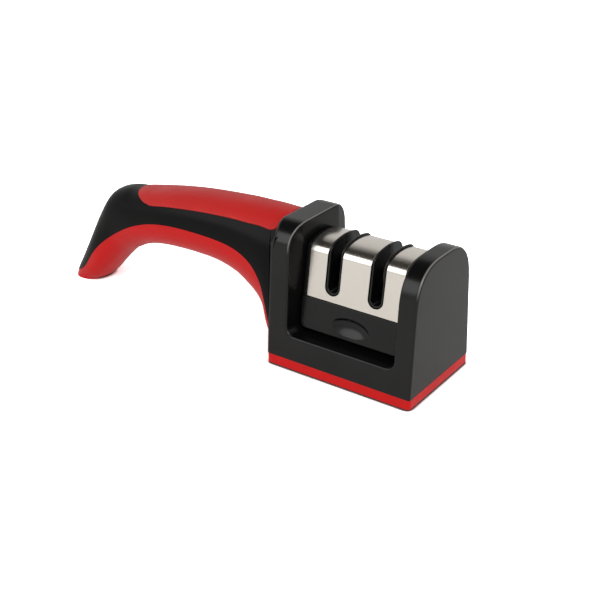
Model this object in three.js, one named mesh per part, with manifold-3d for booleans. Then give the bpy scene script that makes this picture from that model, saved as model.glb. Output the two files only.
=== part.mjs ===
// Two-slot pull-through knife sharpener: a housing with a lift-out cartridge and a hooked handle.
// Millimetres, +Z up. The handle reaches towards -X and the front looks towards -Y.
// The origin is the middle of the rubber pad's underside, on the table.
import * as THREE from 'three';
import { mergeVertices } from 'three/addons/utils/BufferGeometryUtils.js';
import Module from 'manifold-3d';

// Clearances
const fitGap = 0.3; // between fixed neighbours
const liftGap = 0.6; // around the cartridge's tenon, so that it lifts out
const threadGap = 0.15; // between a screw and the hole that it is driven into

// Base
const padStand = 0.6; // pad below the base plate
const padSink = 0.8; // pad let into the base plate
const padInset = 0.5; // pad's thin rim from the plate's edge
const padBed = 1.6; // let-in part of the pad from the plate's edge
const plateThickness = 4.2;
const plateCorner = 1.6;

// Housing
const housingLength = 70;
const housingWidth = 48.4;
const sideLean = 3.9; // degrees, the front and back lean in
const shellWall = 2.4;
const edgeRound = 1.4; // rounded edges of the two end faces
const ledgeHeight = 15.7; // sill of the bay
const bayCorner = 3.5;
const bayFlare = 0.4; // degrees, the bay's side faces lean apart
const handleWallTop = 62.9;
const handleWallThickness = 11.7;
const reliefStart = 13; // from the middle, where its bay face starts to fall back
const reliefAngle = 11.9; // degrees
const handleWallShoulder = 10.5;
const endWallTop = 59.3;
const endWallThickness = 8.4;
const endWallRise = 18.3; // height of its arched top
const endWallFullness = 2.65; // of the arch: 2 is an ellipse, more is squarer
const pocketFloor = 7.5;
const tubWall = 2;

// Handle
const handleStep = 1.6; // handle's top below the wall's top
const handleShell = 2.6;
const gripFullness = 2.35; // of the cross-section: 2 is an ellipse, more is squarer
const hookFullness = 2.9; // at the tip
const hookStart = 0.55; // share of the handle's length where the section starts to change
const hollowEnd = 0.9; // share of the handle's length that is hollow
const bossRadius = 4;
const bossMeet = 44; // height at which the bosses of both halves meet
const handleScrewReach = [24, 48, 72]; // from the wall

// Soft inlay
const inlayProud = 0.4;
const inlayDepth = 1.6;
const inlayReach = 3; // its bed is cut from this far above the handle
const inlayFloor = 46; // the inlay lies above this height
const inlayWallGap = 1.2;
const inlayTongueReach = 72;
const inlayTongueLength = 17;
const inlayTongueHalf = 12.1;
const inlayEndHalf = 12;
const inlayCorner = 6;

// Cartridge
const cartridgeShift = -0.1; // from the middle of the bay, towards the end wall
const cartridgeLength = 49;
const cartridgeSole = 17.9;
const cartridgeCorner = 2.5;
const cartridgeHalfDepth = 17.2; // at the ledge
const cartridgeLean = 9.2; // degrees, front and rear lean in
const tenonLength = 41;
const tenonDepth = 25;
const splitGap = 0.3; // between the two halves
const dimpleHeight = 23.2;
const dimpleRadii = [8.8, 2.2, 4];
const coverLength = 44.6;
const coverFoot = 31.9;
const coverSheet = 0.8;
const coverCrown = 55.9;
const coverBend = 5.2; // radius of the bends beside the arch
const archRadius = 28;
const cheekInset = 0.25; // black ends beside the cover lie this far inside its surface
const slotSpacing = 20.55;
const slotWidth = 7.25; // in the steel cover
const slotFoot = 34.5;
const lipWall = 0.9;
const lipStand = 0.8; // lips above the cover's arch

// Sharpening pieces
const bladeWidth = 5;
const bladeThickness = 2;
const bladeLength = 18;
const bladeLean = 20; // degrees from upright
const rodRadius = 2;
const rodLength = 18;
const rodLean = 18;
const notchHeight = 42; // where each crossed pair leaves its V
const pairSink = 8; // from a pair's crossing to the middle of its pieces

// Screws: shank radius, head radius, head height, length under the head
const baseScrew = { shank: 1.2, head: 2.5, headHeight: 1.5, length: 9 };
const handleScrew = { shank: 1.5, head: 2.8, headHeight: 2, length: 18 };
const cartridgeScrew = { shank: 1.3, head: 2.5, headHeight: 1.6, length: 14 };
const crossWidth = 0.7; // drive recess
const crossDepth = 0.8;
const baseScrewInset = [5.4, 8.7]; // from the housing's end and side
const cartridgeScrewSpacing = 18.5;
const cartridgeScrewHeight = 40;

// Fineness
const arcSteps = 5;
const ringPoints = 24;
const ringCount = 30;
const partingSteps = 30;
const roundSides = 12;
const edgeSteps = 3;
const bedSamples = 400; // along the handle's top line

// Handle outline from the wall to the tip. Each station pairs a point of the top line with one of the
// bottom line: reach from the wall and drop below the top, reach and height above the table, half width.
const handleStations = [
  { top: [-1.5, 0], bottom: [-1.5, -4], half: 17.6 },
  { top: [3, 0], bottom: [7.5, -2], half: 17 },
  { top: [8, 0], bottom: [10.2, 10.4], half: 16.4 },
  { top: [13, 0], bottom: [13.8, 17.2], half: 15.9 },
  { top: [19, 0.2], bottom: [19.3, 22.2], half: 15.3 },
  { top: [27, 0.4], bottom: [27, 27], half: 14.8 },
  { top: [39, 1.2], bottom: [38, 30.1], half: 14.4 },
  { top: [53, 2.4], bottom: [52, 30.8], half: 14.1 },
  { top: [67, 4.3], bottom: [66, 30.4], half: 14 },
  { top: [79, 6.4], bottom: [77, 28.9], half: 13.8 },
  { top: [89, 8.2], bottom: [85, 26.4], half: 13.6 },
  { top: [97, 9], bottom: [91.4, 23.2], half: 13.2 },
  { top: [104.4, 12.2], bottom: [97.2, 19.8], half: 12.8 },
  { top: [111.1, 21.4], bottom: [103.2, 14.6], half: 12.6 },
  { top: [118.3, 34.2], bottom: [109.5, 8.4], half: 12.4 },
  { top: [127.1, 48.4], bottom: [115.3, 2.3], half: 11 },
  { top: [133, 57.8], bottom: [119.6, -0.6], half: 9.8 },
  { top: [135.4, 66.5], bottom: [124, -6], half: 8.8 },
];

// Parting line between the black upper half and the red cover: reach from the wall, height
const partingLine = [
  [5.4, -2], [5.5, 8], [5.9, 17], [7.3, 26], [10, 33.2], [14, 38.4], [19.5, 41.8], [27, 44], [37, 44.9],
  [50, 45], [62, 44.5], [73, 42.8], [83, 39.6], [92, 35.2], [101, 29.5], [109, 23.2], [115.5, 16.4],
  [121, 9.6], [126, 5.4], [131, 3.4], [137, 3],
];

const seamHeight = padStand + plateThickness;
const wallFace = -housingLength / 2;
const handleTop = handleWallTop - handleStep;
const bayLeft = wallFace + handleWallThickness;
const bayRight = housingLength / 2 - endWallThickness;
const cartridgeX = (bayLeft + bayRight) / 2 + cartridgeShift;
const slotRadius = slotWidth / 2;
const slotCentreHeight = slotFoot + slotRadius;
const lipRadius = slotRadius - fitGap;
const throatRadius = lipRadius - lipWall;
const archCentre = coverCrown - archRadius;
const far = 2 * (housingLength + housingWidth); // reaches past everything

const wasm = await Module();
wasm.setup();

const radians = THREE.MathUtils.degToRad;
const xAxis = new THREE.Vector3(1, 0, 0);
const yAxis = new THREE.Vector3(0, 1, 0);
const zAxis = new THREE.Vector3(0, 0, 1);
const alongX = new THREE.Matrix4().makeBasis(yAxis, zAxis, xAxis);
const alongY = new THREE.Matrix4().makeBasis(xAxis, zAxis, yAxis.clone().negate());

// Solids from geometry and back

function solidOf(geometry) {
  geometry.deleteAttribute('normal');
  geometry.deleteAttribute('uv');
  const merged = mergeVertices(geometry, 1e-4);
  const corners = merged.index.array;
  const triVerts = [];
  for (let i = 0; i < corners.length; i += 3) {
    const [a, b, c] = [corners[i], corners[i + 1], corners[i + 2]];
    if (a !== b && b !== c && c !== a) {
      triVerts.push(a, b, c);
    }
  }
  const vertProperties = new Float32Array(merged.attributes.position.array);
  const mesh = new wasm.Mesh({ numProp: 3, vertProperties, triVerts: new Uint32Array(triVerts) });
  return new wasm.Manifold(mesh);
}

function geometryOf(solid) {
  const mesh = solid.getMesh();
  const geometry = new THREE.BufferGeometry();
  geometry.setAttribute('position', new THREE.BufferAttribute(mesh.vertProperties, 3));
  geometry.setIndex(new THREE.BufferAttribute(mesh.triVerts, 1));
  geometry.computeVertexNormals();
  return geometry;
}

const join = (...solids) => solids.reduce((whole, next) => whole.add(next));
const cut = (whole, ...tools) => tools.reduce((left, tool) => left.subtract(tool), whole);

function box(x0, x1, y0, y1, z0, z1) {
  const geometry = new THREE.BoxGeometry(x1 - x0, y1 - y0, z1 - z0);
  geometry.translate((x0 + x1) / 2, (y0 + y1) / 2, (z0 + z1) / 2);
  return solidOf(geometry);
}

// A shape drawn in Y and Z, from x0 to x1, with rounded end edges
function prismX(shape, x0, x1, round = 0) {
  const geometry = new THREE.ExtrudeGeometry(shape, {
    depth: x1 - x0 - 2 * round,
    bevelEnabled: round > 0,
    bevelThickness: round,
    bevelSize: round,
    bevelOffset: -round,
    bevelSegments: edgeSteps,
    curveSegments: arcSteps,
  });
  geometry.translate(0, 0, x0 + round);
  return solidOf(geometry.applyMatrix4(alongX));
}

// A shape drawn in X and Z, from y0 to y1
function prismY(shape, y0, y1) {
  const geometry = new THREE.ExtrudeGeometry(shape, {
    depth: y1 - y0,
    bevelEnabled: false,
    curveSegments: arcSteps,
  });
  geometry.translate(0, 0, -y1);
  return solidOf(geometry.applyMatrix4(alongY));
}

// A shape drawn in X and Y, from z0 to z1
function prismZ(shape, z0, z1) {
  const geometry = new THREE.ExtrudeGeometry(shape, {
    depth: z1 - z0,
    bevelEnabled: false,
    curveSegments: arcSteps,
  });
  geometry.translate(0, 0, z0);
  return solidOf(geometry);
}

function upright(radius, x, y, z0, z1) {
  const geometry = new THREE.CylinderGeometry(radius, radius, z1 - z0, roundSides);
  geometry.rotateX(Math.PI / 2);
  geometry.translate(x, y, (z0 + z1) / 2);
  return solidOf(geometry);
}

function crosswise(radius, x, y0, y1, z) {
  const geometry = new THREE.CylinderGeometry(radius, radius, y1 - y0, roundSides);
  geometry.translate(x, (y0 + y1) / 2, z);
  return solidOf(geometry);
}

// Outlines

// Cross-section of a housing wall: leaning sides and a flat top with round shoulders
function wallShape(top, shoulder, inset, foot) {
  const lean = radians(sideLean);
  const half = (z) => housingWidth / 2 - (z - seamHeight) * Math.tan(lean) - inset / Math.cos(lean);
  const radius = shoulder - inset;
  const centreZ = top - shoulder;
  const centreY = half(centreZ) - radius / Math.cos(lean);
  const shape = new THREE.Shape();
  shape.moveTo(-half(foot), foot);
  shape.lineTo(half(foot), foot);
  shape.absarc(centreY, centreZ, radius, lean, Math.PI / 2, false);
  shape.absarc(-centreY, centreZ, radius, Math.PI / 2, Math.PI - lean, false);
  return shape;
}

// Cross-section of the end wall: leaning sides that run into an arched top
function archedWallShape(inset, foot) {
  const lean = radians(sideLean);
  const half = (z) => housingWidth / 2 - (z - seamHeight) * Math.tan(lean) - inset / Math.cos(lean);
  const springing = endWallTop - endWallRise;
  const rise = endWallRise - inset;
  const side = [];
  for (let i = 0; i < 2 * arcSteps; i += 1) {
    const angle = (Math.PI / 4) * (i / arcSteps);
    const z = springing + rise * Math.sin(angle) ** (2 / endWallFullness);
    side.push([half(z) * Math.cos(angle) ** (2 / endWallFullness), z]);
  }
  const shape = new THREE.Shape();
  shape.moveTo(-half(foot), foot);
  shape.lineTo(half(foot), foot);
  for (const [y, z] of side) shape.lineTo(y, z);
  shape.lineTo(0, springing + rise);
  for (const [y, z] of side.reverse()) shape.lineTo(-y, z);
  return shape;
}

// Cross-section of the housing below a height, without shoulders
function sillShape(top, inset, foot) {
  const lean = radians(sideLean);
  const half = (z) => housingWidth / 2 - (z - seamHeight) * Math.tan(lean) - inset / Math.cos(lean);
  const shape = new THREE.Shape();
  shape.moveTo(-half(foot), foot);
  shape.lineTo(half(foot), foot);
  shape.lineTo(half(top), top);
  shape.lineTo(-half(top), top);
  return shape;
}

// Front view of the open bay: flaring sides and round lower corners, the left side moved back
function bayShape(back) {
  const flare = radians(bayFlare);
  const top = handleWallTop + edgeRound;
  const spread = (top - ledgeHeight) * Math.tan(flare);
  const shape = new THREE.Shape();
  const centreZ = ledgeHeight + bayCorner;
  const sideShift = bayCorner / Math.cos(flare) - bayCorner * Math.tan(flare);
  shape.moveTo(bayRight + spread, top);
  shape.lineTo(bayLeft - back - spread, top);
  shape.absarc(bayLeft - back + sideShift, centreZ, bayCorner, Math.PI + flare, 1.5 * Math.PI, false);
  shape.absarc(bayRight - sideShift, centreZ, bayCorner, -Math.PI / 2, -flare, false);
  return shape;
}

function roundedRectangle(halfLength, halfWidth, corner) {
  const shape = new THREE.Shape();
  const x = halfLength - corner;
  const y = halfWidth - corner;
  shape.absarc(x, -y, corner, -Math.PI / 2, 0, false);
  shape.absarc(x, y, corner, 0, Math.PI / 2, false);
  shape.absarc(-x, y, corner, Math.PI / 2, Math.PI, false);
  shape.absarc(-x, -y, corner, Math.PI, 1.5 * Math.PI, false);
  return shape;
}

// Handle form

const topLine = new THREE.CatmullRomCurve3(
  handleStations.map(({ top, half }) => new THREE.Vector3(wallFace - top[0], half, handleTop - top[1])),
);
const bottomLine = new THREE.CatmullRomCurve3(
  handleStations.map(({ bottom }) => new THREE.Vector3(wallFace - bottom[0], 0, bottom[1])),
);

// A ring of the handle's surface, moved out by offset
function handleRing(t, offset) {
  const top = topLine.getPoint(t);
  const bottom = bottomLine.getPoint(t);
  const across = top.y + offset;
  top.y = 0;
  const middle = top.clone().add(bottom).multiplyScalar(0.5);
  const up = top.clone().sub(bottom).multiplyScalar(0.5);
  up.setLength(up.length() + offset);
  const hooked = THREE.MathUtils.clamp((t - hookStart) / (1 - hookStart), 0, 1);
  const fullness = THREE.MathUtils.lerp(gripFullness, hookFullness, hooked);
  const squared = (value) => Math.sign(value) * Math.abs(value) ** (2 / fullness);
  return Array.from({ length: ringPoints }, (_, k) => {
    const angle = (2 * Math.PI * k) / ringPoints;
    const point = middle.clone().addScaledVector(up, squared(Math.cos(angle)));
    point.y += across * squared(Math.sin(angle));
    return point;
  });
}

function loft(rings) {
  const positions = [];
  const index = [];
  const count = rings[0].length;
  for (const point of rings.flat()) {
    positions.push(point.x, point.y, point.z);
  }
  for (let r = 0; r + 1 < rings.length; r++) {
    for (let k = 0; k < count; k++) {
      const a = r * count + k;
      const b = r * count + ((k + 1) % count);
      index.push(a, b, a + count, b, b + count, a + count);
    }
  }
  const last = (rings.length - 1) * count;
  for (let k = 1; k + 1 < count; k++) {
    index.push(0, k + 1, k, last, last + k, last + k + 1);
  }
  const geometry = new THREE.BufferGeometry();
  geometry.setAttribute('position', new THREE.Float32BufferAttribute(positions, 3));
  geometry.setIndex(index);
  return solidOf(geometry);
}

// The open bay, wider in front and behind where the handle wall falls back
function bayForm() {
  const slope = Math.tan(radians(reliefAngle));
  const rings = [housingWidth, reliefStart, -reliefStart, -housingWidth].map((y) => {
    const back = slope * (Math.abs(y) - reliefStart);
    return bayShape(back).getPoints(arcSteps).map((point) => new THREE.Vector3(point.x, y, point.y));
  });
  return loft(rings);
}

function handleForm(offset, end = 1) {
  return loft(Array.from({ length: ringCount }, (_, r) => handleRing((end * r) / (ringCount - 1), offset)));
}

// Side view of everything under the parting line, with its edge moved up by shift
function coverShape(shift) {
  const places = partingLine.map(([reach, z]) => new THREE.Vector2(wallFace - reach, z));
  const line = new THREE.SplineCurve(places);
  const edge = Array.from({ length: partingSteps + 1 }, (_, i) => {
    const along = line.getTangent(i / partingSteps);
    const outward = new THREE.Vector2(along.y, -along.x);
    return line.getPoint(i / partingSteps).addScaledVector(outward, shift);
  });
  const below = -handleTop;
  const corners = [new THREE.Vector2(edge.at(-1).x, below), new THREE.Vector2(edge[0].x, below)];
  return new THREE.Shape([...edge, ...corners]);
}

// Plan of the soft inlay: round tongue towards the hook, round corners at the wall
function inlayShape(grow) {
  const shape = new THREE.Shape();
  const tongueX = wallFace - inlayTongueReach;
  const cornerX = wallFace - inlayWallGap - inlayCorner;
  const cornerY = inlayEndHalf - inlayCorner;
  const corner = inlayCorner + grow;
  const half = inlayTongueHalf + grow;
  shape.absarc(cornerX, -cornerY, corner, -Math.PI / 2, 0, false);
  shape.absarc(cornerX, cornerY, corner, 0, Math.PI / 2, false);
  shape.absellipse(tongueX, 0, inlayTongueLength + grow, half, Math.PI / 2, 1.5 * Math.PI, false);
  return shape;
}

// Housing and handle

const handleSolid = handleForm(0);
const handleHollow = handleForm(-handleShell, hollowEnd).intersect(
  box(-far, wallFace, -far, far, seamHeight + handleShell, far),
);
const inlayPlace = (grow) => prismZ(inlayShape(grow), inlayFloor, far);

function handleBoss(reach, z0, z1) {
  return upright(bossRadius, wallFace - reach, 0, z0, z1).intersect(handleForm(-inlayDepth - fitGap));
}

// Height of the inlay's bed over the middle of the handle
function bedHeight(reach) {
  const away = (point) => Math.abs(point.x - (wallFace - reach));
  const samples = topLine.getPoints(bedSamples);
  const near = samples.reduce((best, point) => (away(point) < away(best) ? point : best));
  return near.z - inlayDepth - fitGap;
}

const handleScrewSeat = (reach) => bedHeight(reach) - handleScrew.headHeight - 2 * fitGap;

function baseScrewPlaces() {
  const x = housingLength / 2 - baseScrewInset[0];
  const y = housingWidth / 2 - baseScrewInset[1];
  return [[-x, -y], [x, -y], [x, y], [-x, y]];
}

const baseScrewSeat = padStand + padSink + fitGap + baseScrew.headHeight;

function makeBodyShell() {
  const low = seamHeight - 2 * edgeRound;
  const half = housingLength / 2;
  const outside = join(
    prismX(wallShape(handleWallTop, handleWallShoulder, 0, low), -half, bayLeft + 2 * bayCorner, edgeRound),
    prismX(archedWallShape(0, low), bayRight - 2 * bayCorner, half, edgeRound),
    prismX(sillShape(ledgeHeight + 2 * bayCorner, 0, low), bayLeft, bayRight),
    cut(handleSolid, prismY(coverShape(fitGap), -far, far)),
  ).intersect(aboveSeamOrTip());

  const spread = (handleWallTop - ledgeHeight) * Math.tan(radians(bayFlare));
  const tubX = tenonLength / 2 + liftGap + tubWall;
  const tubY = tenonDepth / 2 + liftGap + tubWall;
  const tub = box(cartridgeX - tubX, cartridgeX + tubX, -tubY, tubY, pocketFloor - tubWall, far);
  const inner = half - shellWall;
  const fallBack = (housingWidth / 2 - shellWall - reliefStart) * Math.tan(radians(reliefAngle));
  const handleWallHollow = wallShape(handleWallTop, handleWallShoulder, shellWall, low);
  const endWallHollow = archedWallShape(shellWall, low);
  const hollow = join(
    prismX(handleWallHollow, -inner, bayLeft - spread - shellWall - fallBack),
    prismX(endWallHollow, bayRight + spread + shellWall, inner),
    cut(prismX(sillShape(ledgeHeight - shellWall, shellWall, low), -inner, inner), tub),
  );
  const pocketX = tenonLength / 2 + liftGap;
  const pocketY = tenonDepth / 2 + liftGap;
  const pocket = box(cartridgeX - pocketX, cartridgeX + pocketX, -pocketY, pocketY, pocketFloor, far);
  const bed = cut(handleForm(inlayReach), handleForm(-inlayDepth - fitGap)).intersect(inlayPlace(fitGap));
  let shell = cut(outside, bayForm(), hollow, pocket, handleHollow, bed);

  for (const [x, y] of baseScrewPlaces()) {
    shell = join(shell, upright(baseScrew.head + threadGap, x, y, seamHeight, ledgeHeight - shellWall / 2));
    const depth = baseScrewSeat + baseScrew.length + fitGap;
    shell = cut(shell, upright(baseScrew.shank + threadGap, x, y, 0, depth));
  }
  for (const reach of handleScrewReach) {
    shell = join(shell, handleBoss(reach, bossMeet + fitGap / 2, handleTop));
    const x = wallFace - reach;
    shell = cut(
      shell,
      upright(handleScrew.shank + threadGap, x, 0, bossMeet, handleTop),
      upright(handleScrew.head + fitGap, x, 0, handleScrewSeat(reach), handleTop),
    );
  }
  return shell;
}

function makeUnderCover() {
  let cover = handleSolid.intersect(prismY(coverShape(0), -far, far)).intersect(aboveSeamOrTip());
  cover = cut(cover, handleHollow);
  for (const reach of handleScrewReach) {
    cover = join(cover, handleBoss(reach, handleShell, bossMeet - fitGap / 2));
    const tipHeight = handleScrewSeat(reach) - handleScrew.length - fitGap;
    cover = cut(cover, upright(handleScrew.shank + threadGap, wallFace - reach, 0, tipHeight, bossMeet));
  }
  return cover;
}

// The foot beside the housing ends at the seam, and the hook's tip reaches the table
function aboveSeamOrTip() {
  const middle = wallFace - handleScrewReach.at(-1);
  return join(
    box(-far, far, -far, far, seamHeight, far),
    box(-far, middle, -far, far, 0, far),
  );
}

const makeInlay = () => cut(handleForm(inlayProud), handleForm(-inlayDepth)).intersect(inlayPlace(0));

function makeBasePlate() {
  const half = housingLength / 2;
  const bedX = half - padBed + fitGap;
  const bedY = housingWidth / 2 - padBed + fitGap;
  let plate = cut(
    prismZ(roundedRectangle(half, housingWidth / 2, plateCorner), padStand, seamHeight),
    prismZ(roundedRectangle(bedX, bedY, plateCorner), 0, padStand + padSink),
  );
  for (const [x, y] of baseScrewPlaces()) {
    plate = cut(
      plate,
      upright(baseScrew.head + fitGap, x, y, 0, baseScrewSeat),
      upright(baseScrew.shank + fitGap, x, y, 0, 2 * seamHeight),
    );
  }
  return plate;
}

function makePad() {
  const outline = (inset) => roundedRectangle(housingLength / 2 - inset, housingWidth / 2 - inset, plateCorner);
  return join(
    prismZ(outline(padInset), 0, padStand - fitGap),
    prismZ(outline(padBed), 0, padStand + padSink),
  );
}

// A screw with its head at the origin's underside, pointing up, and a cross recess in its head
function makeScrew({ shank, head, headHeight, length }) {
  const profile = [
    [0, -headHeight],
    [head * 0.8, -headHeight],
    [head, -headHeight * 0.6],
    [head, 0],
    [shank, 0],
    [shank, length - shank],
    [0, length],
  ];
  const geometry = new THREE.LatheGeometry(profile.map(([r, z]) => new THREE.Vector2(r, z)), roundSides);
  const arm = head * 0.6;
  const deep = crossDepth - headHeight;
  return cut(
    solidOf(geometry.rotateX(Math.PI / 2)),
    box(-arm, arm, -crossWidth / 2, crossWidth / 2, -far, deep),
    box(-crossWidth / 2, crossWidth / 2, -arm, arm, -far, deep),
  );
}

// Cartridge, drawn about its own middle

const slotPlaces = [-slotSpacing / 2, slotSpacing / 2];

// Half depth of the cartridge at a height, measured inset below its surface
function halfDepth(z, inset) {
  const lean = radians(cartridgeLean);
  return cartridgeHalfDepth - (z - ledgeHeight) * Math.tan(lean) - inset / Math.cos(lean);
}

// Cross-section under the arch: leaning front and rear, round bends and a shallow arch
function archShape(inset, radius, foot) {
  const lean = radians(cartridgeLean);
  const bend = coverBend - inset;
  // the bend's middle lies as deep under the leaning side as under the arch
  const up = new THREE.Vector2(-Math.sin(lean), Math.cos(lean));
  const middle = new THREE.Vector2(
    halfDepth(foot, inset) - bend * Math.cos(lean),
    foot - bend * Math.sin(lean) - archCentre,
  );
  const rise = middle.dot(up);
  middle.addScaledVector(up, Math.sqrt(rise * rise - middle.lengthSq() + (radius - bend) ** 2) - rise);
  const angle = middle.angle();
  const shape = new THREE.Shape();
  shape.moveTo(-halfDepth(foot, inset), foot);
  shape.lineTo(halfDepth(foot, inset), foot);
  shape.absarc(middle.x, archCentre + middle.y, bend, lean, angle, false);
  shape.absarc(0, archCentre, radius, angle, Math.PI - angle, false);
  shape.absarc(-middle.x, archCentre + middle.y, bend, Math.PI - angle, Math.PI - lean, false);
  return shape;
}

// Front view of a slot with a round foot
function slotShape(x, radius) {
  const shape = new THREE.Shape();
  const top = coverCrown + far;
  shape.moveTo(x + radius, top);
  shape.lineTo(x - radius, top);
  shape.absarc(x, slotCentreHeight, radius, Math.PI, 2 * Math.PI, false);
  return shape;
}

// Front view of the core with round lower corners
function coreShape() {
  const shape = new THREE.Shape();
  const half = cartridgeLength / 2;
  const x = half - cartridgeCorner;
  const z = cartridgeSole + cartridgeCorner;
  shape.moveTo(half, far);
  shape.lineTo(-half, far);
  shape.absarc(-x, z, cartridgeCorner, Math.PI, 1.5 * Math.PI, false);
  shape.absarc(x, z, cartridgeCorner, -Math.PI / 2, 0, false);
  return shape;
}

// Places of the crossed pieces in a slot: leaning apart, one behind the other
function pairPlace(x, side, lean, halfWidth, depth) {
  const angle = radians(lean);
  const crossing = notchHeight - halfWidth / Math.sin(angle);
  const matrix = new THREE.Matrix4().makeRotationY(side * angle);
  matrix.setPosition(
    x + side * pairSink * Math.sin(angle),
    side * (depth / 2 + splitGap / 2),
    crossing + pairSink * Math.cos(angle),
  );
  return matrix;
}

const bladePlace = (side) => pairPlace(slotPlaces[0], side, bladeLean, bladeWidth / 2, bladeThickness);
const rodPlace = (side) => pairPlace(slotPlaces[1], side, rodLean, rodRadius, 2 * rodRadius);

// A channel for one crossed piece, open towards the split between the halves
function pairChannel(place, side, width, depth, length) {
  const room = 2 * threadGap;
  const geometry = new THREE.BoxGeometry(width + room, depth + room, length + room);
  const deep = solidOf(geometry.clone().applyMatrix4(place));
  const shift = new THREE.Matrix4().makeTranslation(0, (-side * depth) / 2, 0);
  return join(deep, solidOf(geometry.applyMatrix4(shift.multiply(place))));
}

const screwRecess = cartridgeScrew.headHeight + fitGap;
const cartridgeScrewSeat = halfDepth(cartridgeScrewHeight, coverSheet + fitGap) - screwRecess;
const cartridgeScrewPlaces = [-cartridgeScrewSpacing, 0, cartridgeScrewSpacing];

function makeCore() {
  const half = cartridgeLength / 2;
  const under = coverSheet + fitGap;
  const coverEnd = coverLength / 2 + fitGap;
  const cheek = archShape(cheekInset, archRadius - cheekInset, cartridgeSole);
  const panelTop = coverFoot - fitGap;
  const panel = new THREE.Shape([
    new THREE.Vector2(-halfDepth(cartridgeSole, 0), cartridgeSole),
    new THREE.Vector2(halfDepth(cartridgeSole, 0), cartridgeSole),
    new THREE.Vector2(halfDepth(panelTop, 0), panelTop),
    new THREE.Vector2(-halfDepth(panelTop, 0), panelTop),
  ]);
  let core = join(
    prismX(panel, -half, half),
    prismX(archShape(under, archRadius - under, cartridgeSole), -half, half),
    prismX(cheek, -half, -coverEnd),
    prismX(cheek, coverEnd, half),
  ).intersect(prismY(coreShape(), -far, far));
  for (const x of slotPlaces) {
    const lip = prismX(archShape(fitGap, archRadius + lipStand, coverFoot), x - slotRadius, x + slotRadius);
    core = join(core, lip.intersect(prismY(slotShape(x, lipRadius), -far, far)));
    core = cut(core, prismY(slotShape(x, throatRadius), -far, far));
  }
  const tenonTop = cartridgeSole + cartridgeCorner;
  const tenonFoot = pocketFloor + fitGap;
  core = join(
    core,
    box(-tenonLength / 2, tenonLength / 2, -tenonDepth / 2, tenonDepth / 2, tenonFoot, tenonTop),
  );
  for (const side of [-1, 1]) {
    const dimple = new THREE.SphereGeometry(1, 2 * roundSides, roundSides);
    dimple.scale(...dimpleRadii);
    dimple.rotateX(side * radians(cartridgeLean));
    dimple.translate(0, side * halfDepth(dimpleHeight, 0), dimpleHeight);
    core = cut(
      core,
      solidOf(dimple),
      pairChannel(bladePlace(side), side, bladeWidth, bladeThickness, bladeLength),
      pairChannel(rodPlace(side), side, 2 * rodRadius, 2 * rodRadius, rodLength),
    );
  }
  for (const x of cartridgeScrewPlaces) {
    const tip = cartridgeScrewSeat - cartridgeScrew.length - fitGap;
    core = cut(
      core,
      crosswise(cartridgeScrew.shank + threadGap, x, tip, far, cartridgeScrewHeight),
      crosswise(cartridgeScrew.head + fitGap, x, cartridgeScrewSeat, far, cartridgeScrewHeight),
    );
  }
  return core;
}

function makeSteelCover() {
  const half = coverLength / 2;
  const sheet = cut(
    prismX(archShape(0, archRadius, coverFoot), -half, half),
    prismX(archShape(coverSheet, archRadius - coverSheet, cartridgeSole), -far, far),
  );
  return cut(sheet, ...slotPlaces.map((x) => prismY(slotShape(x, slotRadius), -far, far)));
}

// Materials

function finish(color, roughness, metalness = 0) {
  return new THREE.MeshStandardMaterial({ color, roughness, metalness });
}

const blackPlastic = () => finish(0x2d292a, 0.45);
const redPlastic = () => finish(0xb62623, 0.4);
const softRed = () => finish(0xbe2f2a, 0.65);
const blackRubber = () => finish(0x1a1919, 0.85);
const brushedSteel = () => finish(0xdcd2c8, 0.3, 1);
const screwSteel = () => finish(0x9a9a98, 0.35, 1);
const carbide = () => finish(0x55565a, 0.4, 0.8);
const greyCeramic = () => finish(0x6f6f70, 0.55);

// Assembly

function piece(name, geometry, material) {
  const mesh = new THREE.Mesh(geometry, material);
  mesh.name = name;
  return mesh;
}

const body = new THREE.Group();
body.add(
  piece('body_shell', geometryOf(makeBodyShell()), blackPlastic()),
  piece('handle_under_cover', geometryOf(makeUnderCover()), redPlastic()),
  piece('top_grip_inlay', geometryOf(makeInlay()), softRed()),
  piece('base_plate', geometryOf(makeBasePlate()), redPlastic()),
  piece('non_slip_pad', geometryOf(makePad()), blackRubber()),
);
baseScrewPlaces().forEach(([x, y], i) => {
  const screw = piece(`base_screw_${i + 1}`, geometryOf(makeScrew(baseScrew)), screwSteel());
  screw.position.set(x, y, baseScrewSeat);
  body.add(screw);
});
handleScrewReach.forEach((reach, i) => {
  const screw = piece(`handle_screw_${i + 1}`, geometryOf(makeScrew(handleScrew)), screwSteel());
  screw.position.set(wallFace - reach, 0, handleScrewSeat(reach));
  screw.rotation.x = Math.PI;
  body.add(screw);
});

const cartridge = new THREE.Group();
const core = makeCore();
const frontSide = box(-far, far, -far, -splitGap / 2, -far, far);
const rearSide = box(-far, far, splitGap / 2, far, -far, far);
cartridge.position.x = cartridgeX;
cartridge.add(
  piece('cartridge_front_half', geometryOf(core.intersect(frontSide)), blackPlastic()),
  piece('cartridge_rear_half', geometryOf(core.intersect(rearSide)), blackPlastic()),
  piece('steel_cover', geometryOf(makeSteelCover()), brushedSteel()),
);
for (const [side, word] of [[-1, 'left'], [1, 'right']]) {
  const bladeForm = new THREE.BoxGeometry(bladeWidth, bladeThickness, bladeLength);
  const blade = piece(`carbide_blade_${word}`, bladeForm, carbide());
  blade.applyMatrix4(bladePlace(side));
  const rodForm = new THREE.CylinderGeometry(rodRadius, rodRadius, rodLength, roundSides);
  rodForm.rotateX(Math.PI / 2);
  const rod = piece(`ceramic_rod_${word}`, rodForm, greyCeramic());
  rod.applyMatrix4(rodPlace(side));
  cartridge.add(blade, rod);
}
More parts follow.
